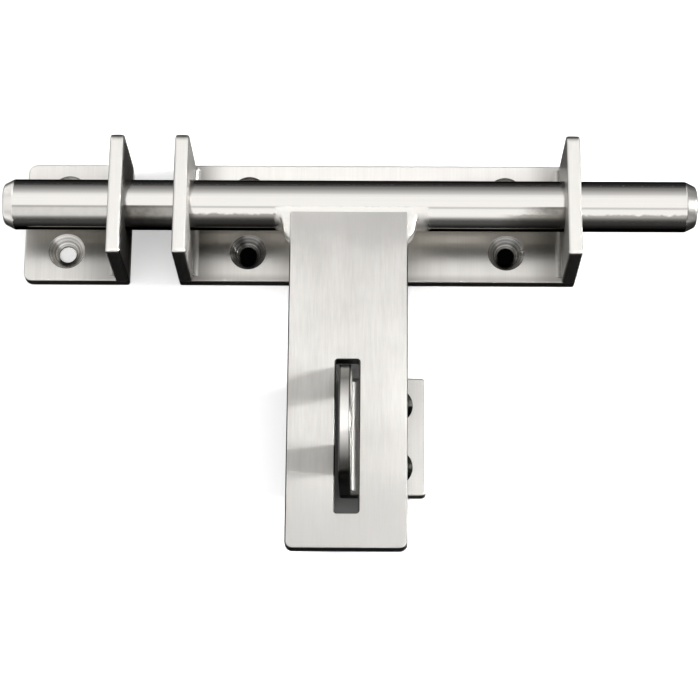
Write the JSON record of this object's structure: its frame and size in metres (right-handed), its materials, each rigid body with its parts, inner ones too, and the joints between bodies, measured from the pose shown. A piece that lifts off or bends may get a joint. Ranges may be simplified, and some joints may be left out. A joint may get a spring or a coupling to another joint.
{
  "type": "sliding bolt latch",
  "caption": "Surface bolt latch with a round bolt, T handle slotted over a padlock eye, guide ears and a separate keeper.",
  "frame": {"origin": "on the door face at the back of the latch plate, below the bolt's axis and midway along the plate", "axes": "+X along the bolt away from the keeper, +Y across the bars away from the handle, +Z out of the door"},
  "size_m": [0.219, 0.1309, 0.035],
  "materials": {
    "brushed_bar": "satin brushed stainless flat bar",
    "satin_handle": "fine satin brushed along the handle",
    "polished_rod": "turned and polished round bar",
    "ground_weld": "ground and buffed weld"
  },
  "bodies": {
    "root": {"keeper_plate": "brushed_bar", "keeper_ear": "brushed_bar", "keeper_ear_weld": "ground_weld", "latch_plate": "brushed_bar", "left_guide_ear": "brushed_bar", "right_guide_ear": "brushed_bar", "left_guide_weld": "ground_weld", "right_guide_weld": "ground_weld", "staple_plate": "brushed_bar", "staple_eye": "brushed_bar", "staple_eye_weld": "ground_weld"},
    "bolt": {"bolt_rod": "polished_rod"},
    "handle": {"handle_plate": "satin_handle", "handle_weld_left": "ground_weld", "handle_weld_right": "ground_weld"}
  },
  "joints": [
    {"name": "bolt_slide", "type": "slide", "parent": "root", "child": "bolt", "axis": [1, 0, 0], "range_m": [-0.0024, 0.001]},
    {"name": "handle_swing", "type": "hinge", "parent": "bolt", "child": "handle", "pos_m": [-0.0088, 0, 0.0173], "axis": [-1, 0, 0], "range_deg": [0, 180]}
  ]
}
